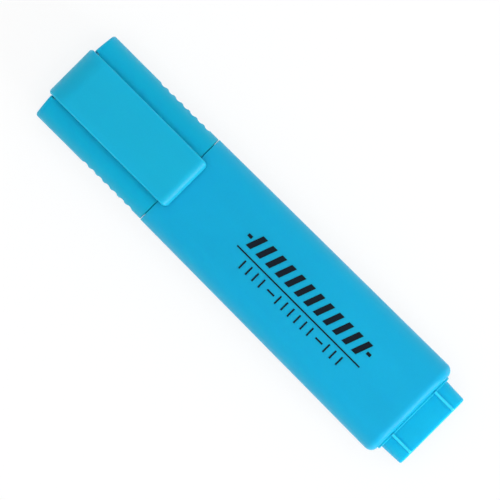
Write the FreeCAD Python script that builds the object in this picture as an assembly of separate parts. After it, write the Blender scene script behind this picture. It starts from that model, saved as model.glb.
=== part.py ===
"""Flat-bodied highlighter with a chisel nib, as its separate mouldings.

The pen lies along X: the cap is at +X, the posting stub at -X, and the pocket clip is on top.
The broad faces face up and down, and Z = 0 is the plane that the underside of the barrel lies on.
All sizes are in millimetres.
"""
import FreeCAD, Part
import math
import os
from collections import namedtuple

# A section across the pen: a rectangle with rounded corners, centred on the pen's axis.
Section = namedtuple("Section", "width height radius")


def inset(section, amount):
    """The same section made smaller all round by an amount, or larger where it is negative."""
    return Section(
        section.width - 2 * amount,
        section.height - 2 * amount,
        section.radius - amount,
    )


# Overall sizes
OVERALL_LENGTH = 117.6
BARREL_WIDTH = 27.0
BARREL_HEIGHT = 16.0
BARREL_CORNER_RADIUS = 5.6

# Barrel
BARREL_SIDE_TAPER = 0.6  # each narrow side comes in by this much from the rear to the cap
BARREL_WALL = 2.4
PLUG_SEAT_STEP = 0.15  # the cavity is this much smaller all round than the plug's seat
SHOULDER_RADIUS = 2.0
NECK_LENGTH = 7.6
NECK_WALL = 1.6
NECK_ROOT_LENGTH = 2.4  # solid stretch behind the seam that joins the neck to the shell
CORE_RIB_WIDTH = 1.1
CORE_RIB_SPACING = 9.0

# Cap
CAP_LENGTH = 34.65
CAP_STEP = 0.1  # the cap is this much smaller all round than the barrel at the seam
CAP_WALL = 1.3
CROWN_WALL = 2.0
CROWN_SAGITTA = 0.75
CROWN_EDGE_RADIUS = 0.7
SEAM_GAP = 0.15
EDGE_BREAK = 0.15
NECK_CLEARANCE = 0.2
SNAP_BEAD_HEIGHT = 0.17
SNAP_BEAD_WIDTH = 0.9
SNAP_BEAD_INSET = 2.4  # from the end of the neck to the middle of the bead
SNAP_GROOVE_DEPTH = 0.2
SNAP_GROOVE_WIDTH = 1.5

# Grip grooves on the narrow sides of the cap
GRIP_COUNT = 7
GRIP_PITCH = 2.35
GRIP_OFFSET = 3.65  # from the mouth to the middle of the first groove
GRIP_DEPTH = 0.28
GRIP_CUTTER_RADIUS = 1.6

# Pocket clip
CLIP_LENGTH = 37.9
CLIP_WIDTH = 14.0
CLIP_THICKNESS = 1.6
CLIP_GAP = 1.7  # between the cap and the underside of the plate
CLIP_PROUD = 0.75  # how far the root stands out beyond the end of the cap
CLIP_BEND_RADIUS = 5.0
CLIP_TIP_RADIUS = 2.3
CLIP_TIP_CORNER = 1.4
CLIP_ROOT_CORNER = 0.9
CLIP_CORNER_OVERRUN = 0.08
CLIP_EDGE_RADIUS = 0.45
CLIP_LIP_DEPTH = 1.1  # how far the turned-down tip reaches below the plate
CLIP_LIP_WIDTH = 1.2
CLIP_CLEARANCE = 0.3

# Snap hinge of the clip, in the crown of the cap
PIVOT_SETBACK = 2.2  # from the outer face of the clip's root
PIVOT_DROP = 4.4  # below the top of the cap
KNUCKLE_RADIUS = 1.0
TRUNNION_RADIUS = 0.6
TRUNNION_LENGTH = 0.8
PIVOT_CLEARANCE = 0.05
BOSS_WALL = 1.0

# Seats inside the cap
SEAT_RIB_WIDTH = 1.2
SEAT_RIB_SPACING = 10.0
GUIDE_RIB_LENGTH = 9.0
GUIDE_RIB_CLEARANCE = 0.02

# Inner cap
INNER_CAP_WALL = 0.8
SEAL_CLEARANCE = 0.04
SEAL_RIM_GAP = 0.25

# Nib holder
HOLDER_INSERT_LENGTH = 6.0
HOLDER_FLANGE_LENGTH = 1.4
HOLDER_FLANGE_STEP = 0.3
HOLDER_WALL = 1.2
HOLDER_FLOOR = 1.4
SEAL_LAND_LENGTH = 3.2
SEAL_LAND_STEP = 0.3
NOSE_STEP = 0.5
NOSE_RADIUS = 1.6
NOSE_WALL = 1.3
VENT_DEPTH = 0.6  # air grooves along both edges of the nib's channel
VENT_HEIGHT = 1.0
VENT_CORNER_RADIUS = 0.3
PRESS_CLEARANCE = 0.03

# Nib
NIB_WIDTH = 5.0
NIB_THICKNESS = 3.0
NIB_CORNER_RADIUS = 0.5
NIB_EXPOSED = 5.8
NIB_AIR = 5.5  # between the nib's tip and the closed end of the inner cap
NIB_TAIL = 7.6
NIB_CUT_LENGTH = 2.7
NIB_CLEARANCE = 0.03

# Reservoir
CORE_CLEARANCE = 0.3
CORE_END_GAP = 0.25
FILM_THICKNESS = 0.2
RESERVOIR_SIDE_FLAT = 0.6

# Rear plug and posting stub
STUB_LENGTH = 6.4
STUB_STEP_SIDE = 0.8
STUB_STEP_FACE = 0.3
STUB_TAPER = 0.25
STUB_CORNER_RADIUS = 3.2
STUB_END_RADIUS = 0.4
GATE_RADIUS = 1.4  # dimple round the moulding gate, in the middle of the stub's end
GATE_DEPTH = 0.25
PLUG_FLANGE_THICKNESS = 0.5
PLUG_FLANGE_STEP = 0.1
PLUG_SKIRT_LENGTH = 7.0
PLUG_WALL = 1.3
POSTING_RIB_WIDTH = 0.7
POSTING_RIB_SPACING = 13.8
POSTING_RIB_SETBACK = 0.3
POSTING_RIB_EDGE = 0.28
POSTING_CLEARANCE = 0.05
PUSHER_WIDTH = 1.2

# Places along and above the pen that follow from those sizes
AXIS_Z = BARREL_HEIGHT / 2
CLIP_ROOT_X = OVERALL_LENGTH / 2
CAP_END_X = CLIP_ROOT_X - CLIP_PROUD
CAP_MOUTH_X = CAP_END_X - CAP_LENGTH
SEAM_X = CAP_MOUTH_X - SEAM_GAP
NECK_END_X = SEAM_X + NECK_LENGTH
STUB_END_X = -OVERALL_LENGTH / 2
BARREL_REAR_X = STUB_END_X + STUB_LENGTH
SKIRT_END_X = BARREL_REAR_X + PLUG_SKIRT_LENGTH
FLANGE_END_X = NECK_END_X + HOLDER_FLANGE_LENGTH
LAND_END_X = FLANGE_END_X + SEAL_LAND_LENGTH
INSERT_START_X = NECK_END_X - HOLDER_INSERT_LENGTH
CORE_START_X = SKIRT_END_X + CORE_END_GAP
CORE_END_X = INSERT_START_X - CORE_END_GAP
PIVOT_X = CLIP_ROOT_X - PIVOT_SETBACK
CROWN_X = CAP_END_X - CROWN_WALL
BOSS_X = PIVOT_X - KNUCKLE_RADIUS - BOSS_WALL
NIB_TIP_X = BOSS_X - INNER_CAP_WALL - NIB_AIR
NOSE_END_X = NIB_TIP_X - NIB_EXPOSED
FREE = 1.0  # how far a cutting tool runs past the face that it opens

# Sections that fit one inside another, from the outside in
BARREL_REAR = Section(BARREL_WIDTH, BARREL_HEIGHT, BARREL_CORNER_RADIUS)
BARREL_FRONT = BARREL_REAR._replace(width=BARREL_WIDTH - 2 * BARREL_SIDE_TAPER)
CAP = inset(BARREL_FRONT, CAP_STEP)
CAP_BORE = inset(CAP, CAP_WALL)
NECK = inset(CAP_BORE, NECK_CLEARANCE)
NECK_BORE = inset(NECK, NECK_WALL)
HOLDER_INSERT = inset(NECK_BORE, PRESS_CLEARANCE)
HOLDER_FLANGE = inset(NECK, HOLDER_FLANGE_STEP)
SEAL_LAND = inset(NECK_BORE, SEAL_LAND_STEP)
INNER_CAP_BORE = inset(SEAL_LAND, -SEAL_CLEARANCE)
INNER_CAP = inset(INNER_CAP_BORE, -INNER_CAP_WALL)
NOSE_ROOT = inset(SEAL_LAND, NOSE_STEP)
NIB = Section(NIB_WIDTH, NIB_THICKNESS, NIB_CORNER_RADIUS)
NIB_CHANNEL = inset(NIB, -NIB_CLEARANCE)
NIB_VENTS = Section(NIB_WIDTH + 2 * VENT_DEPTH, VENT_HEIGHT, VENT_CORNER_RADIUS)
NOSE_TIP = inset(NIB, -NOSE_WALL)._replace(radius=NOSE_RADIUS)
RESERVOIR_FILM = Section(
    NECK_BORE.width - 2 * CORE_CLEARANCE,
    NECK_BORE.height - 2 * CORE_CLEARANCE,
    NECK_BORE.height / 2 - CORE_CLEARANCE - RESERVOIR_SIDE_FLAT / 2,
)
RESERVOIR_CORE = inset(RESERVOIR_FILM, FILM_THICKNESS)
PLUG_SEAT = inset(BARREL_REAR, BARREL_WALL)
CAVITY_REAR = inset(PLUG_SEAT, PLUG_SEAT_STEP)
CAVITY_FRONT = inset(BARREL_FRONT, BARREL_WALL + PLUG_SEAT_STEP)
PLUG_SKIRT = inset(PLUG_SEAT, PRESS_CLEARANCE)
PLUG_FLANGE = inset(BARREL_REAR, SHOULDER_RADIUS + PLUG_FLANGE_STEP)
STUB = Section(
    PLUG_FLANGE.width - 2 * STUB_STEP_SIDE,
    PLUG_FLANGE.height - 2 * STUB_STEP_FACE,
    STUB_CORNER_RADIUS,
)

CAP_TOP_Z = AXIS_Z + CAP.height / 2
CAP_FLOOR_Z = AXIS_Z - CAP_BORE.height / 2
CLIP_UNDER_Z = CAP_TOP_Z + CLIP_GAP
CLIP_TOP_Z = CLIP_UNDER_Z + CLIP_THICKNESS
CLIP_TIP_X = CLIP_ROOT_X - CLIP_LENGTH
CLIP_LIP_Z = CLIP_UNDER_Z - CLIP_LIP_DEPTH
PIVOT_Z = CAP_TOP_Z - PIVOT_DROP
FOOT_Z = PIVOT_Z - KNUCKLE_RADIUS


def vector(x, y, z):
    return FreeCAD.Vector(x, y, z)


def block(x_range, y_range, z_range):
    """A plain box between two corners."""
    low = vector(x_range[0], y_range[0], z_range[0])
    return Part.makeBox(
        x_range[1] - x_range[0],
        y_range[1] - y_range[0],
        z_range[1] - z_range[0],
        low,
    )


def edges_along_x(shape, length):
    """The edges that run nearly the whole length of a bar."""
    return [edge for edge in shape.Edges if edge.BoundBox.XLength > 0.9 * length]


def edges_between(shape, x_low, x_high):
    """The edges that lie whole between two places along the pen."""
    slack = 1e-4
    return [
        edge
        for edge in shape.Edges
        if edge.BoundBox.XMin > x_low - slack and edge.BoundBox.XMax < x_high + slack
    ]


def bar(x_rear, x_front, rear, front=None, sagitta=0.0):
    """A flat bar along X with rounded long edges.

    Its width may taper from the rear section to the front one, and its front end may be domed
    across the width by a sagitta.
    """
    front = front or rear
    bottom = AXIS_Z - rear.height / 2
    shoulder_x = x_front - sagitta
    rear_left = vector(x_rear, rear.width / 2, bottom)
    rear_right = vector(x_rear, -rear.width / 2, bottom)
    front_left = vector(shoulder_x, front.width / 2, bottom)
    front_right = vector(shoulder_x, -front.width / 2, bottom)
    if sagitta:
        end = Part.Arc(front_right, vector(x_front, 0, bottom), front_left).toShape()
    else:
        end = Part.makeLine(front_right, front_left)
    plan = Part.Wire(
        [
            Part.makeLine(rear_right, front_right),
            end,
            Part.makeLine(front_left, rear_left),
            Part.makeLine(rear_left, rear_right),
        ]
    )
    solid = Part.Face(plan).extrude(vector(0, 0, rear.height))
    return solid.makeFillet(rear.radius, edges_along_x(solid, shoulder_x - x_rear))


def outline(x, section):
    """The rounded rectangle of a section, as a wire at one place along the pen."""
    rim = bar(x, x + FREE, section)
    return next(face.OuterWire for face in rim.Faces if face.BoundBox.XMax < x + FREE / 2)


def mirrored_pair(shape):
    """A shape and its mirror image across the pen's middle plane, Y = 0."""
    return [shape, shape.mirror(vector(0, 0, 0), vector(0, 1, 0))]


def four_corners(shape):
    """A shape, its mirror image across the pen, and both again on the opposite broad face."""
    pair = mirrored_pair(shape)
    return pair + [one.mirror(vector(0, 0, AXIS_Z), vector(0, 0, 1)) for one in pair]


def centred_plate(x_range, y_middle, thickness, z_range):
    """A thin plate along X, centred on a place across the pen."""
    return block(x_range, (y_middle - thickness / 2, y_middle + thickness / 2), z_range)


def barrel():
    """Body shell: tapered sides, rounded rear shoulder, neck for the cap, ribs for the core."""
    shell = bar(BARREL_REAR_X, SEAM_X, BARREL_REAR, BARREL_FRONT)
    shell = shell.makeFillet(SHOULDER_RADIUS, edges_between(shell, BARREL_REAR_X, BARREL_REAR_X))
    shell = shell.makeFillet(EDGE_BREAK, edges_between(shell, SEAM_X, SEAM_X))
    neck = bar(SEAM_X - FREE, NECK_END_X, NECK)
    neck = neck.makeFillet(EDGE_BREAK, edges_between(neck, NECK_END_X, NECK_END_X))
    bead_x = NECK_END_X - SNAP_BEAD_INSET
    bead = bar(
        bead_x - SNAP_BEAD_WIDTH / 2,
        bead_x + SNAP_BEAD_WIDTH / 2,
        inset(NECK, -SNAP_BEAD_HEIGHT),
    )
    body = shell.fuse([neck, bead])
    cavity_end_x = SEAM_X - NECK_ROOT_LENGTH
    cavity = bar(SKIRT_END_X, cavity_end_x, CAVITY_REAR, CAVITY_FRONT).cut(core_ribs(cavity_end_x))
    plug_seat = bar(BARREL_REAR_X - FREE, SKIRT_END_X, PLUG_SEAT)
    neck_bore = bar(cavity_end_x - FREE, NECK_END_X + FREE, NECK_BORE)
    return body.cut([cavity, plug_seat, neck_bore])


def core_ribs(x_end):
    """Long ribs that hold the reservoir in the middle of the barrel."""
    x_range = (SKIRT_END_X, x_end + FREE)
    reach = AXIS_Z + RESERVOIR_FILM.height / 2 + CORE_CLEARANCE
    roof = AXIS_Z + BARREL_HEIGHT / 2
    face_rib = centred_plate(x_range, CORE_RIB_SPACING / 2, CORE_RIB_WIDTH, (reach, roof))
    side_rib = block(
        x_range,
        (RESERVOIR_FILM.width / 2 + CORE_CLEARANCE, BARREL_WIDTH / 2),
        (AXIS_Z - CORE_RIB_WIDTH / 2, AXIS_Z + CORE_RIB_WIDTH / 2),
    )
    return four_corners(face_rib) + mirrored_pair(side_rib)


def rear_plug():
    """End plug: hollow skirt pressed into the barrel, seating flange, and ribbed posting stub."""
    flange_x = BARREL_REAR_X - PLUG_FLANGE_THICKNESS
    skirt = bar(BARREL_REAR_X, SKIRT_END_X, PLUG_SKIRT)
    flange = bar(flange_x, BARREL_REAR_X, PLUG_FLANGE)
    rim_radius = PLUG_FLANGE_THICKNESS / 2
    flange = flange.makeFillet(rim_radius, edges_between(flange, flange_x, flange_x))
    tip = STUB._replace(width=STUB.width - 2 * STUB_TAPER)
    stub = bar(STUB_END_X, BARREL_REAR_X, tip, STUB)
    stub = stub.makeFillet(STUB_END_RADIUS, edges_between(stub, STUB_END_X, STUB_END_X))
    body = skirt.fuse([flange, stub] + posting_ribs())
    hollow = bar(STUB_END_X + PLUG_WALL, SKIRT_END_X + FREE, inset(tip, PLUG_WALL))
    gate_start = vector(STUB_END_X - FREE, 0, AXIS_Z)
    gate = Part.makeCylinder(GATE_RADIUS, FREE + GATE_DEPTH, gate_start, vector(1, 0, 0))
    return body.cut([hollow, gate]).fuse(pusher_bars())


def posting_ribs():
    """Two ribs on each broad face of the stub, high enough to grip the bore of the posted cap."""
    top = AXIS_Z + CAP_BORE.height / 2 - POSTING_CLEARANCE
    x_range = (STUB_END_X + POSTING_RIB_SETBACK, BARREL_REAR_X - PLUG_FLANGE_THICKNESS / 2)
    rib = centred_plate(x_range, POSTING_RIB_SPACING / 2, POSTING_RIB_WIDTH, (AXIS_Z, top))
    crest = [
        edge
        for edge in rib.Edges
        if edge.BoundBox.ZMin > top - 1e-4 and edge.BoundBox.XMin < x_range[1] - 1e-4
    ]
    return four_corners(rib.makeFillet(POSTING_RIB_EDGE, crest))


def pusher_bars():
    """Two upright bars inside the plug that keep the reservoir forward."""
    hollow_half = STUB.height / 2 - PLUG_WALL
    pusher = centred_plate(
        (STUB_END_X + PLUG_WALL / 2, SKIRT_END_X),
        CORE_RIB_SPACING / 2,
        PUSHER_WIDTH,
        (AXIS_Z - hollow_half - PLUG_WALL / 2, AXIS_Z + hollow_half + PLUG_WALL / 2),
    )
    return mirrored_pair(pusher)


def nib_holder():
    """Front section: insert pressed into the neck, flange, sealing land and tapered nose."""
    insert = bar(INSERT_START_X, NECK_END_X, HOLDER_INSERT)
    flange = bar(NECK_END_X, FLANGE_END_X, HOLDER_FLANGE)
    flange = flange.makeFillet(EDGE_BREAK, edges_between(flange, FLANGE_END_X, FLANGE_END_X))
    land = bar(NECK_END_X, LAND_END_X, SEAL_LAND)
    land = land.makeFillet(EDGE_BREAK, edges_between(land, LAND_END_X, LAND_END_X))
    nose = Part.makeLoft([outline(LAND_END_X, NOSE_ROOT), outline(NOSE_END_X, NOSE_TIP)], True, True)
    nose_root = bar(FLANGE_END_X, LAND_END_X, NOSE_ROOT)
    body = insert.fuse([flange, land, nose_root, nose])
    sleeve = bar(INSERT_START_X, NECK_END_X, inset(NIB_CHANNEL, -HOLDER_WALL))
    core_pocket = bar(INSERT_START_X - FREE, NECK_END_X - HOLDER_FLOOR, inset(HOLDER_INSERT, HOLDER_WALL))
    channel = bar(INSERT_START_X - FREE, NOSE_END_X + FREE, NIB_CHANNEL)
    vents = bar(INSERT_START_X - FREE, NOSE_END_X + FREE, NIB_VENTS)
    return body.cut(core_pocket.cut(sleeve)).cut([channel, vents])


def chisel_nib():
    """Fibre nib with a slanted wedge tip, its tail pushed into the reservoir."""
    nib = bar(CORE_END_X - NIB_TAIL, NIB_TIP_X, NIB)
    far = FREE + NIB_WIDTH / 2
    slope = NIB_CUT_LENGTH / NIB_WIDTH
    wedge = Part.makePolygon(
        [
            vector(NIB_TIP_X + slope * (far - NIB_WIDTH / 2), far, 0),
            vector(NIB_TIP_X - slope * (far + NIB_WIDTH / 2), -far, 0),
            vector(NIB_TIP_X + 2 * far, -far, 0),
            vector(NIB_TIP_X + 2 * far, far, 0),
            vector(NIB_TIP_X + slope * (far - NIB_WIDTH / 2), far, 0),
        ]
    )
    return nib.cut(Part.Face(wedge).extrude(vector(0, 0, BARREL_HEIGHT)))


def ink_reservoir():
    """Fibre core with the pocket that the nib's tail is pushed into."""
    core = bar(CORE_START_X, CORE_END_X, RESERVOIR_CORE)
    return core.cut(bar(CORE_END_X - NIB_TAIL, CORE_END_X + FREE, NIB))


def reservoir_film():
    """Thin film wrapped round the core, open at both ends."""
    wrap = bar(CORE_START_X, CORE_END_X, RESERVOIR_FILM)
    return wrap.cut(bar(CORE_START_X - FREE, CORE_END_X + FREE, RESERVOIR_CORE))


def inner_cap():
    """Seal sleeve: closed at the crown, open toward the barrel, close round the sealing land."""
    mouth_x = FLANGE_END_X + SEAL_RIM_GAP
    sleeve = bar(mouth_x, BOSS_X, INNER_CAP)
    sleeve = sleeve.makeFillet(INNER_CAP_WALL / 2, edges_between(sleeve, BOSS_X, BOSS_X))
    return sleeve.cut(bar(mouth_x - FREE, BOSS_X - INNER_CAP_WALL, INNER_CAP_BORE))


def cap_shell():
    """Cap: domed crown, bore for the neck, grip grooves, and the clip's pocket and hinge seat."""
    shell = bar(CAP_MOUTH_X, CAP_END_X, CAP, sagitta=CROWN_SAGITTA)
    crown_edges = edges_between(shell, CAP_END_X - CROWN_SAGITTA, CAP_END_X)
    shell = shell.makeFillet(CROWN_EDGE_RADIUS, crown_edges)
    shell = shell.makeFillet(EDGE_BREAK, edges_between(shell, CAP_MOUTH_X, CAP_MOUTH_X))
    bore = bar(CAP_MOUTH_X - FREE, CROWN_X, CAP_BORE)
    bore = bore.cut([clip_boss()] + seat_ribs() + guide_ribs())
    groove_x = NECK_END_X - SNAP_BEAD_INSET
    snap_groove = bar(
        groove_x - SNAP_GROOVE_WIDTH / 2,
        groove_x + SNAP_GROOVE_WIDTH / 2,
        inset(CAP_BORE, -SNAP_GROOVE_DEPTH),
    )
    return shell.cut([bore, snap_groove] + grip_grooves() + clip_pocket())


def clip_boss():
    """Thicker part of the crown that backs the clip's snap hinge."""
    half_width = CLIP_WIDTH / 2 + TRUNNION_LENGTH + BOSS_WALL
    bottom = FOOT_Z - CLIP_CLEARANCE - BOSS_WALL
    return block((BOSS_X, CROWN_X + FREE), (-half_width, half_width), (bottom, CAP_TOP_Z))


def seat_ribs():
    """Upright ribs in the crown that the closed end of the inner cap rests against."""
    seat = centred_plate(
        (BOSS_X, CROWN_X + FREE),
        SEAT_RIB_SPACING / 2,
        SEAT_RIB_WIDTH,
        (CAP_FLOOR_Z - FREE, AXIS_Z),
    )
    return mirrored_pair(seat)


def guide_ribs():
    """Short ribs along the bore that centre the inner cap."""
    x_range = (BOSS_X - GUIDE_RIB_LENGTH, CROWN_X + FREE)
    above = AXIS_Z + INNER_CAP.height / 2 + GUIDE_RIB_CLEARANCE
    beside = INNER_CAP.width / 2 + GUIDE_RIB_CLEARANCE
    face_rib = centred_plate(x_range, SEAT_RIB_SPACING / 2, SEAT_RIB_WIDTH, (above, CAP_TOP_Z))
    side_rib = block(
        x_range,
        (beside, CAP.width / 2),
        (AXIS_Z - SEAT_RIB_WIDTH / 2, AXIS_Z + SEAT_RIB_WIDTH / 2),
    )
    return four_corners(face_rib) + mirrored_pair(side_rib)


def grip_grooves():
    """Upright scallops across both narrow sides of the cap, which fade out in its rounded edges."""
    centre_y = CAP.width / 2 - GRIP_DEPTH + GRIP_CUTTER_RADIUS
    grooves = []
    for index in range(GRIP_COUNT):
        x = CAP_MOUTH_X + GRIP_OFFSET + index * GRIP_PITCH
        cutter = Part.makeCylinder(GRIP_CUTTER_RADIUS, BARREL_HEIGHT, vector(x, centre_y, 0))
        grooves += mirrored_pair(cutter)
    return grooves


def clip_point(x, z):
    """A point of the clip's side outline, on one narrow side of the clip."""
    return vector(x, -CLIP_WIDTH / 2, z)


def quarter_arc(centre_x, centre_z, radius, toward):
    """A quarter turn in the clip's side outline, from beside its centre to above it."""
    diagonal = math.sqrt(0.5)
    side = clip_point(centre_x + toward * radius, centre_z)
    middle = clip_point(centre_x + toward * radius * diagonal, centre_z + radius * diagonal)
    top = clip_point(centre_x, centre_z + radius)
    return Part.Arc(side, middle, top).toShape()


def clip_skin():
    """Outer half of the clip's side outline: upright root, bend, flat plate, turned-down tip."""
    bend_x = CLIP_ROOT_X - CLIP_BEND_RADIUS
    bend_z = CLIP_TOP_Z - CLIP_BEND_RADIUS
    tip_x = CLIP_TIP_X + CLIP_TIP_RADIUS
    tip_z = CLIP_TOP_Z - CLIP_TIP_RADIUS
    return [
        Part.makeLine(clip_point(CLIP_ROOT_X, FOOT_Z), clip_point(CLIP_ROOT_X, bend_z)),
        quarter_arc(bend_x, bend_z, CLIP_BEND_RADIUS, 1),
        Part.makeLine(clip_point(bend_x, CLIP_TOP_Z), clip_point(tip_x, CLIP_TOP_Z)),
        quarter_arc(tip_x, tip_z, CLIP_TIP_RADIUS, -1),
        Part.makeLine(clip_point(CLIP_TIP_X, tip_z), clip_point(CLIP_TIP_X, CLIP_LIP_Z)),
    ]


def clip_profile():
    """The whole side outline of the clip, as a face."""
    inner_x = CLIP_ROOT_X - CLIP_THICKNESS
    bend_x = CLIP_ROOT_X - CLIP_BEND_RADIUS
    bend_z = CLIP_TOP_Z - CLIP_BEND_RADIUS
    lip_end = clip_point(CLIP_TIP_X, CLIP_LIP_Z)
    lip_inner = clip_point(CLIP_TIP_X + CLIP_LIP_WIDTH, CLIP_LIP_Z)
    lip_root = clip_point(CLIP_TIP_X + CLIP_LIP_WIDTH + CLIP_LIP_DEPTH, CLIP_UNDER_Z)
    inner_side = [
        Part.makeLine(lip_end, lip_inner),
        Part.makeLine(lip_inner, lip_root),
        Part.makeLine(lip_root, clip_point(bend_x, CLIP_UNDER_Z)),
        quarter_arc(bend_x, bend_z, CLIP_BEND_RADIUS - CLIP_THICKNESS, 1),
        Part.makeLine(clip_point(inner_x, bend_z), clip_point(inner_x, FOOT_Z)),
        Part.makeLine(clip_point(inner_x, FOOT_Z), clip_point(CLIP_ROOT_X, FOOT_Z)),
    ]
    return Part.Face(Part.Wire(Part.__sortEdges__(clip_skin() + inner_side)))


def clip_plan():
    """Upright block with the clip's outline from above, with its rounded corners.

    It runs past both ends of the clip, so that each corner meets the end at a slight edge.
    """
    half_width = CLIP_WIDTH / 2
    x_range = (CLIP_TIP_X - CLIP_CORNER_OVERRUN, CLIP_ROOT_X + CLIP_CORNER_OVERRUN)
    plan = block(x_range, (-half_width, half_width), (FOOT_Z - FREE, CLIP_TOP_Z + FREE))
    for x, radius in zip(x_range, (CLIP_TIP_CORNER, CLIP_ROOT_CORNER)):
        corners = [edge for edge in edges_between(plan, x, x) if edge.BoundBox.ZLength > FREE]
        plan = plan.makeFillet(radius, corners)
    return plan


def clip_rim(solid):
    """The edges round the outside of the clip, which its mould leaves rounded."""
    skin = Part.Wire(clip_skin())
    rim = []
    for edge in solid.Edges:
        middle = edge.valueAt(0.5 * (edge.FirstParameter + edge.LastParameter))
        runs_across = edge.BoundBox.XLength + edge.BoundBox.ZLength < 1e-4
        if not runs_across and skin.distToShape(Part.Vertex(clip_point(middle.x, middle.z)))[0] < 1e-4:
            rim.append(edge)
    return rim


def across(radius, length):
    """A pin across the pen on the clip's hinge line."""
    start = vector(PIVOT_X, -length / 2, PIVOT_Z)
    return Part.makeCylinder(radius, length, start, vector(0, 1, 0))


def pocket_clip():
    """Clip moulding with a knuckle and two trunnions that snap into the crown of the cap."""
    plate = clip_profile().extrude(vector(0, CLIP_WIDTH, 0)).common(clip_plan())
    plate = plate.makeFillet(CLIP_EDGE_RADIUS, clip_rim(plate))
    knuckle = across(KNUCKLE_RADIUS, CLIP_WIDTH - 2 * CLIP_ROOT_CORNER)
    trunnions = across(TRUNNION_RADIUS, CLIP_WIDTH + 2 * TRUNNION_LENGTH)
    return plate.fuse([knuckle, trunnions])


def clip_pocket():
    """What the cap's crown is cut away by to take the clip's root, knuckle and trunnions."""
    profile = clip_profile().makeOffset2D(CLIP_CLEARANCE)
    profile.translate(vector(0, -CLIP_CLEARANCE, 0))
    pocket_width = CLIP_WIDTH + 2 * CLIP_CLEARANCE
    return [
        profile.extrude(vector(0, pocket_width, 0)),
        across(KNUCKLE_RADIUS + PIVOT_CLEARANCE, pocket_width),
        across(TRUNNION_RADIUS + PIVOT_CLEARANCE, CLIP_WIDTH + 2 * TRUNNION_LENGTH + CLIP_CLEARANCE),
    ]


PIECES = {
    "cap_shell": cap_shell,
    "pocket_clip": pocket_clip,
    "inner_cap": inner_cap,
    "barrel": barrel,
    "nib_holder": nib_holder,
    "chisel_nib": chisel_nib,
    "ink_reservoir": ink_reservoir,
    "reservoir_film": reservoir_film,
    "rear_plug": rear_plug,
}

os.makedirs("parts", exist_ok=True)
for name, make in PIECES.items():
    piece = make()
    piece.exportStep(f"parts/{name}.step")
    print(name, len(piece.Solids), "solid", piece.isValid(), round(piece.Volume, 1), "mm3")
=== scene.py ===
import math

import bmesh
import bpy
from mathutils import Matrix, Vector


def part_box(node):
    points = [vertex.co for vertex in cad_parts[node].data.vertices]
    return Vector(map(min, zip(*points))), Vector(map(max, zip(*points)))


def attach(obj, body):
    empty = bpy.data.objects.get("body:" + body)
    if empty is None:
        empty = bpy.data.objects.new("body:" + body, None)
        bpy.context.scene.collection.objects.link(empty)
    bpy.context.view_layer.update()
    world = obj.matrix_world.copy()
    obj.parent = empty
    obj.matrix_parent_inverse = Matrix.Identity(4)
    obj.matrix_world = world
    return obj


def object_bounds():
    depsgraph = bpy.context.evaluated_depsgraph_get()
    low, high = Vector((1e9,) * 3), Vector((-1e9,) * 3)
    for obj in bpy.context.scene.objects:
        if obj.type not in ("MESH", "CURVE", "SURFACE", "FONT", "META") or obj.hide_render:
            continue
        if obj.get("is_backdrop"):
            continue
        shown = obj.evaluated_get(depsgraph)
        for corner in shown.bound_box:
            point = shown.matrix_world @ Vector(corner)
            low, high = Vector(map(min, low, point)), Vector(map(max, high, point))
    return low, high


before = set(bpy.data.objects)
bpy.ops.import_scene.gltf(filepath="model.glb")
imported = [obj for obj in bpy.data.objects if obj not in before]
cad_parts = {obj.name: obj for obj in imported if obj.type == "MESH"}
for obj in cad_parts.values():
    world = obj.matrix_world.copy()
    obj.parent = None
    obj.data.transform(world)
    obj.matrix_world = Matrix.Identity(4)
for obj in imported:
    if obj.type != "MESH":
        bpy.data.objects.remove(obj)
lowest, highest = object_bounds()

MM = 0.001

# Where the pen lies across the camera's view, and how much of it the view takes in.
AXIS_ANGLE = 44.967
VIEW_WIDTH = 114.95 * MM
LENS = 900.0
SENSOR = 36.0
FOCUS_HEIGHT = 10.0 * MM
CENTRE_RIGHT = 0.32 * MM
CENTRE_DOWN = 0.25 * MM

# Light levels: a plain even sky, a soft sheet overhead and one broad, low key beyond the rear plug.
SKY_LEVEL = 0.50
SKY_HORIZON = 0.36
SKY_ZENITH = 0.08
SHEET_LEVEL = 0.44
SHEET_SPREAD = 50.0
KEY_LEVEL = 0.68
KEY_ELEVATION = 17.0
KEY_DISTANCE = 1.2
KEY_SIZE = 0.68
FLOOR_ALBEDO = 0.92
FLOOR_WHITE = 1.0
FLOOR_GLOW = 0.82
FLOOR_SIZE = 3.0

# The coloured mouldings, in linear colour.
# Painted light: the barrel's colour runs from darker at the cap end to lighter at the rear end, where
# the key lamp falls.
BARREL_FRONT_SHADED = (0.0040, 0.404, 0.652)
BARREL_REAR_LIT = (0.0070, 0.430, 0.692)
CAP_BLUE = (0.0010, 0.420, 0.640)
CLIP_BLUE = (0.0080, 0.444, 0.655)
# Painted shadow and highlight: the plug is coloured darker at its root, in the shadow of the barrel's
# shoulder, and lighter at its tip, which faces the key lamp.
PLUG_ROOT_SHADOWED = (0.0020, 0.450, 0.715)
PLUG_TIP_LIT = (0.0060, 0.515, 0.790)
# Painted highlight: the paler blue of the rib tops on the plug.
RIB_HIGHLIGHT_BLUE = (0.0400, 0.640, 0.960)
HOLDER_BLACK = (0.012, 0.013, 0.015)
SEAL_WHITE = (0.74, 0.75, 0.73)
INK_NAVY = (0.002, 0.006, 0.012)
INK_THIN = 2.2
NIB_BLUE = (0.004, 0.28, 0.62)
NIB_PALE = (0.02, 0.46, 0.80)
CORE_BLUE = (0.010, 0.22, 0.50)
CORE_PALE = (0.10, 0.45, 0.75)
FILM_CLEAR = (0.80, 0.88, 0.92)
FILM_DIM = 0.82

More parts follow.
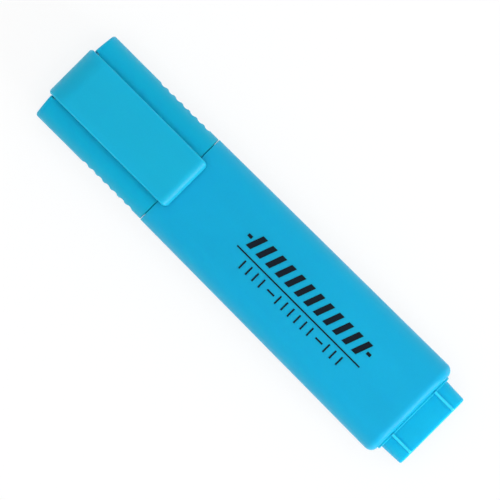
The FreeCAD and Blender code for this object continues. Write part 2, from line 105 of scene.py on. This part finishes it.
# Texture scales, per metre, and the depth of their relief.
FLOW_SCALE = 90.0
SPARK_SCALE = 2600.0
SPARK_DEPTH = 0.02 * MM
SCUFF_SCALE = 700.0
SCUFF_DEPTH = 0.01 * MM
INK_SCALE = 3800.0
INK_DEPTH = 0.01 * MM
NIB_STRANDS = 5200.0
CORE_STRANDS = 3000.0
STRAND_DEPTH = 0.06 * MM
SOAK_SCALE = 420.0
WRINKLE_SCALE = 260.0
WRINKLE_DEPTH = 0.05 * MM

# The sockets of a colour mix node, which share their names with those of its other types.
MIX_FACTOR = 0
MIX_FIRST = 6
MIX_SECOND = 7
MIX_RESULT = 2

# How far light soaks into the mouldings.
GLOW_WEIGHT = 0.8
GLOW_DEPTH = 1.7 * MM
GLOW_REACH = (0.4, 0.8, 1.0)

# The two posting ribs on each broad face of the plug.
RIB_SPACING = 6.9 * MM
RIB_HALF_WIDTH = 0.4 * MM
RIB_TOP_DEPTH = 0.3 * MM

# The generic graphic printed on the barrel's broad face.
PRINT_THICKNESS = 0.03 * MM
PRINT_LENGTH = 39.6 * MM
PRINT_START = 20.2 * MM
BOLD_MIDDLE = -2.25 * MM
BOLD_HEIGHT = 4.3 * MM
BOLD_BARS = 12
BOLD_BAR_WIDTH = 1.5 * MM
BOLD_SLANT = 20.0
BOLD_END_DASH = (1.2 * MM, 0.8 * MM)
RULE_MIDDLE = 1.38 * MM
RULE_HEIGHT = 0.35 * MM
THIN_MIDDLE = 3.65 * MM
THIN_HEIGHT = 2.4 * MM
THIN_TICK_WIDTH = 0.42 * MM
THIN_PITCH = 2.07 * MM
THIN_GROUPS = (4, 6, 3)
THIN_DASH = 2.2 * MM
THIN_INSET = 3.7 * MM


def camera():
    """Straight down, the pen lying from the upper left to the lower right."""
    turn = math.radians(180.0 + AXIS_ANGLE)
    right = (math.cos(turn), math.sin(turn))
    up = (-math.sin(turn), math.cos(turn))
    data = bpy.data.cameras.new("camera")
    data.lens = LENS
    data.sensor_width = SENSOR
    data.clip_start = 0.05
    data.clip_end = 20.0
    eye = bpy.data.objects.new("camera", data)
    eye.location = (
        (lowest[0] + highest[0]) / 2 - CENTRE_RIGHT * right[0] + CENTRE_DOWN * up[0],
        (lowest[1] + highest[1]) / 2 - CENTRE_RIGHT * right[1] + CENTRE_DOWN * up[1],
        FOCUS_HEIGHT + LENS * VIEW_WIDTH / SENSOR,
    )
    eye.rotation_euler = (0.0, 0.0, turn)
    bpy.context.scene.collection.objects.link(eye)
    bpy.context.scene.camera = eye


def key_light():
    """A broad lamp low beyond the rear plug, which lights every edge that faces it."""
    elevation = math.radians(KEY_ELEVATION)
    data = bpy.data.lights.new("key", "AREA")
    data.size = KEY_SIZE
    data.energy = KEY_LEVEL * math.pi * math.pi * KEY_DISTANCE ** 2
    lamp = bpy.data.objects.new("key", data)
    lamp.location = (-KEY_DISTANCE * math.cos(elevation), 0.0, KEY_DISTANCE * math.sin(elevation))
    lamp.rotation_euler = (0.0, elevation - math.pi / 2, 0.0)
    bpy.context.scene.collection.objects.link(lamp)


def sheet_light():
    """A soft sheet overhead, too dull to show as a reflection."""
    data = bpy.data.lights.new("sheet", "SUN")
    data.energy = SHEET_LEVEL * math.pi
    data.angle = math.radians(SHEET_SPREAD)
    lamp = bpy.data.objects.new("sheet", data)
    lamp.location = (0.0, 0.0, KEY_DISTANCE)
    lamp.visible_glossy = False
    bpy.context.scene.collection.objects.link(lamp)


def sky():
    """Even white light; polished faces see it dimmer overhead, like the ceiling of a light tent."""
    world = bpy.data.worlds.new("sky")
    world.use_nodes = True
    nodes = world.node_tree.nodes
    link = world.node_tree.links.new
    nodes.clear()
    place = nodes.new("ShaderNodeTexCoord")
    split = nodes.new("ShaderNodeSeparateXYZ")
    overhead = nodes.new("ShaderNodeMapRange")
    overhead.inputs["From Min"].default_value = 0.35
    overhead.inputs["From Max"].default_value = 0.95
    overhead.inputs["To Min"].default_value = SKY_HORIZON
    overhead.inputs["To Max"].default_value = SKY_ZENITH
    path = nodes.new("ShaderNodeLightPath")
    level = nodes.new("ShaderNodeMix")
    level.inputs["A"].default_value = SKY_LEVEL
    seen = nodes.new("ShaderNodeMix")
    seen.inputs["B"].default_value = 1.0
    background = nodes.new("ShaderNodeBackground")
    background.inputs["Color"].default_value = (1.0, 1.0, 1.0, 1.0)
    output = nodes.new("ShaderNodeOutputWorld")
    link(place.outputs["Generated"], split.inputs["Vector"])
    link(split.outputs["Z"], overhead.inputs["Value"])
    link(path.outputs["Is Glossy Ray"], level.inputs["Factor"])
    link(overhead.outputs["Result"], level.inputs["B"])
    link(path.outputs["Is Camera Ray"], seen.inputs["Factor"])
    link(level.outputs["Result"], seen.inputs["A"])
    link(seen.outputs["Result"], background.inputs["Strength"])
    link(background.outputs["Background"], output.inputs["Surface"])
    bpy.context.scene.world = world


def floor():
    """White paper that glows a little for the camera, so that it reads white and keeps a soft shadow."""
    mesh = bmesh.new()
    bmesh.ops.create_grid(mesh, x_segments=1, y_segments=1, size=FLOOR_SIZE / 2)
    data = bpy.data.meshes.new("floor")
    mesh.to_mesh(data)
    mesh.free()
    plane = bpy.data.objects.new("floor", data)
    bpy.context.scene.collection.objects.link(plane)
    material = bpy.data.materials.new("paper")
    material.use_nodes = True
    nodes = material.node_tree.nodes
    link = material.node_tree.links.new
    nodes.clear()
    diffuse = nodes.new("ShaderNodeBsdfDiffuse")
    diffuse.inputs["Color"].default_value = (FLOOR_ALBEDO, FLOOR_ALBEDO, FLOOR_ALBEDO, 1.0)
    glow = nodes.new("ShaderNodeEmission")
    glow.inputs["Color"].default_value = (FLOOR_WHITE, FLOOR_WHITE, FLOOR_WHITE, 1.0)
    path = nodes.new("ShaderNodeLightPath")
    share = nodes.new("ShaderNodeMath")
    share.operation = "MULTIPLY"
    share.inputs[1].default_value = FLOOR_GLOW
    mix = nodes.new("ShaderNodeMixShader")
    output = nodes.new("ShaderNodeOutputMaterial")
    link(path.outputs["Is Camera Ray"], share.inputs[0])
    link(share.outputs["Value"], mix.inputs["Fac"])
    link(diffuse.outputs["BSDF"], mix.inputs[1])
    link(glow.outputs["Emission"], mix.inputs[2])
    link(mix.outputs["Shader"], output.inputs["Surface"])
    data.materials.append(material)
    plane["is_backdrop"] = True


class Shader:
    """A principled material under construction, with the few node idioms that the finishes share."""

    def __init__(self, name):
        self.material = bpy.data.materials.new(name)
        self.material.use_nodes = True
        self.nodes = self.material.node_tree.nodes
        self.link = self.material.node_tree.links.new
        self.nodes.clear()
        self.surface = self.nodes.new("ShaderNodeBsdfPrincipled")
        output = self.nodes.new("ShaderNodeOutputMaterial")
        self.link(self.surface.outputs["BSDF"], output.inputs["Surface"])
        self.place = self.nodes.new("ShaderNodeTexCoord").outputs["Object"]

    def stretched(self, x, y, z):
        """Object coordinates, in metres, stretched along each axis."""
        mapping = self.nodes.new("ShaderNodeMapping")
        mapping.inputs["Scale"].default_value = (x, y, z)
        self.link(self.place, mapping.inputs["Vector"])
        return mapping.outputs["Vector"]

    def noise(self, per_metre, detail=2.0, place=None):
        """Cloudy values around 0.5."""
        texture = self.nodes.new("ShaderNodeTexNoise")
        texture.inputs["Scale"].default_value = per_metre
        texture.inputs["Detail"].default_value = detail
        self.link(place or self.place, texture.inputs["Vector"])
        return texture.outputs["Fac"]

    def remap(self, value, from_low, from_high, to_low, to_high):
        """One range of values carried over to another."""
        node = self.nodes.new("ShaderNodeMapRange")
        node.inputs["From Min"].default_value = from_low
        node.inputs["From Max"].default_value = from_high
        node.inputs["To Min"].default_value = to_low
        node.inputs["To Max"].default_value = to_high
        self.link(value, node.inputs["Value"])
        return node.outputs["Result"]

    def along(self, axis, from_low, from_high):
        """0 to 1 between two places on one axis of the object."""
        split = self.nodes.new("ShaderNodeSeparateXYZ")
        self.link(self.place, split.inputs["Vector"])
        return self.remap(split.outputs[axis], from_low, from_high, 0.0, 1.0)

    def colour(self, value, first, second):
        """A blend from the first colour at 0 to the second at 1."""
        ramp = self.nodes.new("ShaderNodeValToRGB")
        ramp.color_ramp.elements[0].color = (*first, 1.0)
        ramp.color_ramp.elements[1].color = (*second, 1.0)
        self.link(value, ramp.inputs["Fac"])
        return ramp.outputs["Color"]

    def mixed(self, value, colour, second):
        """A colour that gives way to the second where the value is 1."""
        mix = self.nodes.new("ShaderNodeMix")
        mix.data_type = "RGBA"
        mix.inputs[MIX_SECOND].default_value = (*second, 1.0)
        self.link(value, mix.inputs[MIX_FACTOR])
        self.link(colour, mix.inputs[MIX_FIRST])
        return mix.outputs[MIX_RESULT]

    def rib_mask(self, spacing, half_width, height):
        """1 on two ribs along the pen, above a height."""
        split = self.nodes.new("ShaderNodeSeparateXYZ")
        self.link(self.place, split.inputs["Vector"])
        distance = self.nodes.new("ShaderNodeMath")
        distance.operation = "ABSOLUTE"
        self.link(split.outputs["Y"], distance.inputs[0])
        near = self.nodes.new("ShaderNodeMath")
        near.operation = "COMPARE"
        near.inputs[1].default_value = spacing
        near.inputs[2].default_value = half_width
        self.link(distance.outputs["Value"], near.inputs[0])
        above = self.nodes.new("ShaderNodeMath")
        above.operation = "GREATER_THAN"
        above.inputs[1].default_value = height
        self.link(split.outputs["Z"], above.inputs[0])
        both = self.nodes.new("ShaderNodeMath")
        both.operation = "MULTIPLY"
        self.link(near.outputs["Value"], both.inputs[0])
        self.link(above.outputs["Value"], both.inputs[1])
        return both.outputs["Value"]

    def times(self, colour, value):
        """A colour made brighter or darker by a value near 1."""
        scale = self.nodes.new("ShaderNodeVectorMath")
        scale.operation = "SCALE"
        self.link(colour, scale.inputs[0])
        self.link(value, scale.inputs["Scale"])
        return scale.outputs["Vector"]

    def relief(self, height, depth, strength, under=None):
        """Surface relief, over an earlier relief if one is given."""
        bump = self.nodes.new("ShaderNodeBump")
        bump.inputs["Strength"].default_value = strength
        bump.inputs["Distance"].default_value = depth
        self.link(height, bump.inputs["Height"])
        if under:
            self.link(under, bump.inputs["Normal"])
        return bump.outputs["Normal"]

    def finish(self, colour, roughness, normal):
        """Joins the three results to the surface."""
        self.link(colour, self.surface.inputs["Base Color"])
        self.link(roughness, self.surface.inputs["Roughness"])
        self.link(normal, self.surface.inputs["Normal"])
        return self.material


def moulded(name, front, rear, ends, roughness=0.42, specular=0.2, mottle=0.03, ribs=None):
    """Moulded polypropylene: faint flow marks along the pen, fine spark texture, light handling scuffs.
    Ribs, as (spacing, half width, height where they start), get a painted highlight: their tops are
    coloured paler."""
    shader = Shader(name)
    shader.surface.inputs["Specular IOR Level"].default_value = specular
    shader.surface.inputs["Subsurface Weight"].default_value = GLOW_WEIGHT
    shader.surface.inputs["Subsurface Scale"].default_value = GLOW_DEPTH
    shader.surface.inputs["Subsurface Radius"].default_value = GLOW_REACH
    # A colour blend along the pen; on the barrel and plug it is painted light and shade, not a colour of
    # the plastic.
    base = shader.colour(shader.along("X", *ends), rear, front)
    if ribs:
        # Painted highlight along the rib tops.
        base = shader.mixed(shader.rib_mask(*ribs), base, RIB_HIGHLIGHT_BLUE)
    streaks = shader.noise(FLOW_SCALE, 3.0, shader.stretched(0.3, 1.0, 1.0))
    flow = shader.remap(streaks, 0.3, 0.7, 1 - mottle, 1 + mottle)
    grain = shader.noise(SPARK_SCALE)
    speck = shader.remap(grain, 0.3, 0.7, 0.985, 1.015)
    colour = shader.times(shader.times(base, flow), speck)
    scuffs = shader.noise(SCUFF_SCALE, 4.0, shader.stretched(0.12, 1.0, 1.0))
    shine = shader.remap(scuffs, 0.35, 0.75, roughness - 0.04, roughness + 0.09)
    fine = shader.relief(grain, SPARK_DEPTH, 0.16)
    return shader.finish(colour, shine, shader.relief(scuffs, SCUFF_DEPTH, 0.10, fine))


def printed_ink():
    """Pad-printed ink, a little thin in places."""
    shader = Shader("print_ink")
    shader.surface.inputs["Specular IOR Level"].default_value = 0.3
    cover = shader.noise(INK_SCALE, 3.0)
    thin = tuple(INK_THIN * level for level in INK_NAVY)
    colour = shader.colour(shader.remap(cover, 0.35, 0.75, 0.0, 1.0), INK_NAVY, thin)
    dull = shader.remap(cover, 0.3, 0.7, 0.42, 0.55)
    return shader.finish(colour, dull, shader.relief(cover, INK_DEPTH, 0.2))


def fibre(name, colour, pale, per_metre, roughness=0.85):
    """Bonded fibres that run along the pen, wet with ink in places."""
    shader = Shader(name)
    shader.surface.inputs["Specular IOR Level"].default_value = 0.3
    strands = shader.noise(per_metre, 4.0, shader.stretched(0.08, 1.0, 1.0))
    soaked = shader.noise(SOAK_SCALE)
    hue = shader.colour(shader.remap(strands, 0.35, 0.7, 0.0, 1.0), colour, pale)
    wet = shader.remap(soaked, 0.35, 0.7, roughness - 0.35, roughness)
    shade = shader.times(hue, shader.remap(soaked, 0.3, 0.7, 0.85, 1.12))
    return shader.finish(shade, wet, shader.relief(strands, STRAND_DEPTH, 0.5))


def clear_film():
    """Thin clear film with soft wrinkles."""
    shader = Shader("clear_film")
    shader.surface.inputs["Transmission Weight"].default_value = 0.75
    shader.surface.inputs["IOR"].default_value = 1.46
    wrinkle = shader.noise(WRINKLE_SCALE, 3.0, shader.stretched(0.4, 1.0, 1.0))
    pale = tuple(FILM_DIM * level for level in FILM_CLEAR)
    colour = shader.colour(wrinkle, FILM_CLEAR, pale)
    gloss = shader.remap(wrinkle, 0.3, 0.7, 0.08, 0.25)
    return shader.finish(colour, gloss, shader.relief(wrinkle, WRINKLE_DEPTH, 0.4))


def dress(node, material):
    """Gives a CAD node its finish."""
    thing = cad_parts[node]
    if not thing.material_slots:
        thing.data.materials.append(material)
    for slot in thing.material_slots:
        slot.material = material


def ends_of(node):
    """Where a CAD node starts and ends along the pen."""
    low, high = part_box(node)
    return low[0], high[0]


def dress_plain(node, material, colour, *finish):
    """A moulding of one colour throughout."""
    dress(node, moulded(material, colour, colour, ends_of(node), *finish))


def dress_all():
    """A finish for every CAD node."""
    # The barrel is coloured with painted shade towards the cap and painted light towards the rear.
    dress("barrel", moulded("barrel_plastic", BARREL_FRONT_SHADED, BARREL_REAR_LIT, ends_of("barrel")))
    ribs = (RIB_SPACING, RIB_HALF_WIDTH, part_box("rear_plug")[1][2] - RIB_TOP_DEPTH)
    # The plug is coloured with painted shadow at the barrel and a painted highlight at its tip.
    stub = (ends_of("rear_plug")[0], ends_of("barrel")[0])
    dress("rear_plug", moulded("plug_plastic", PLUG_ROOT_SHADOWED, PLUG_TIP_LIT, stub, ribs=ribs))
    dress_plain("cap_shell", "cap_plastic", CAP_BLUE)
    dress_plain("pocket_clip", "clip_plastic", CLIP_BLUE, 0.38)
    dress_plain("inner_cap", "seal_plastic", SEAL_WHITE, 0.5)
    dress_plain("nib_holder", "holder_plastic", HOLDER_BLACK, 0.36, 0.45)
    dress("chisel_nib", fibre("nib_fibre", NIB_BLUE, NIB_PALE, NIB_STRANDS))
    dress("ink_reservoir", fibre("reservoir_fibre", CORE_BLUE, CORE_PALE, CORE_STRANDS))
    dress("reservoir_film", clear_film())


def block(mesh, middle, size, slant=0.0):
    """One printed mark: a thin slab on the barrel's broad face, leaned over along the pen."""
    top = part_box("barrel")[1][2]
    lean = math.tan(math.radians(slant)) * size[1] / 2
    corners = []
    for z in (top, top + PRINT_THICKNESS):
        for side_x, side_y in ((-1, -1), (1, -1), (1, 1), (-1, 1)):
            x = middle[0] + side_x * size[0] / 2 + side_y * lean
            corners.append(mesh.verts.new((x, middle[1] + side_y * size[1] / 2, z)))
    lower, upper = corners[:4], corners[4:]
    mesh.faces.new(lower[::-1])
    mesh.faces.new(upper)
    for here in range(4):
        after = (here + 1) % 4
        mesh.faces.new((lower[here], lower[after], upper[after], upper[here]))


def bold_row(mesh, start):
    """Slanted bars between two short dashes."""
    dash_length, dash_height = BOLD_END_DASH
    pitch = (PRINT_LENGTH - 2 * dash_length) / BOLD_BARS
    for x in (start - dash_length / 2, start - PRINT_LENGTH + dash_length / 2):
        block(mesh, (x, BOLD_MIDDLE), (dash_length, dash_height))
    for count in range(BOLD_BARS):
        x = start - dash_length - (count + 0.5) * pitch
        block(mesh, (x, BOLD_MIDDLE), (BOLD_BAR_WIDTH, BOLD_HEIGHT), BOLD_SLANT)


def thin_row(mesh, start):
    """Three groups of upright ticks with dashes between them."""
    x = start - THIN_INSET
    for group, ticks in enumerate(THIN_GROUPS):
        if group:
            block(mesh, (x - THIN_DASH / 2, THIN_MIDDLE), (THIN_DASH, THIN_TICK_WIDTH))
            x -= THIN_DASH + THIN_PITCH / 2
        for count in range(ticks):
            block(mesh, (x - THIN_TICK_WIDTH / 2, THIN_MIDDLE), (THIN_TICK_WIDTH, THIN_HEIGHT))
            x -= THIN_PITCH


def barrel_print():
    """The whole graphic as one piece, which moves with the barrel."""
    start = ends_of("cap_shell")[0] - PRINT_START
    mesh = bmesh.new()
    bold_row(mesh, start)
    block(mesh, (start - PRINT_LENGTH / 2, RULE_MIDDLE), (PRINT_LENGTH, RULE_HEIGHT))
    thin_row(mesh, start)
    bmesh.ops.recalc_face_normals(mesh, faces=mesh.faces)
    data = bpy.data.meshes.new("barrel_print")
    mesh.to_mesh(data)
    mesh.free()
    data.materials.append(printed_ink())
    marks = bpy.data.objects.new("barrel_print", data)
    bpy.context.scene.collection.objects.link(marks)
    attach(marks, "body")


bpy.context.scene.view_settings.view_transform = "Standard"
camera()
key_light()
sheet_light()
sky()
floor()
dress_all()
barrel_print()

lowest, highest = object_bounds()
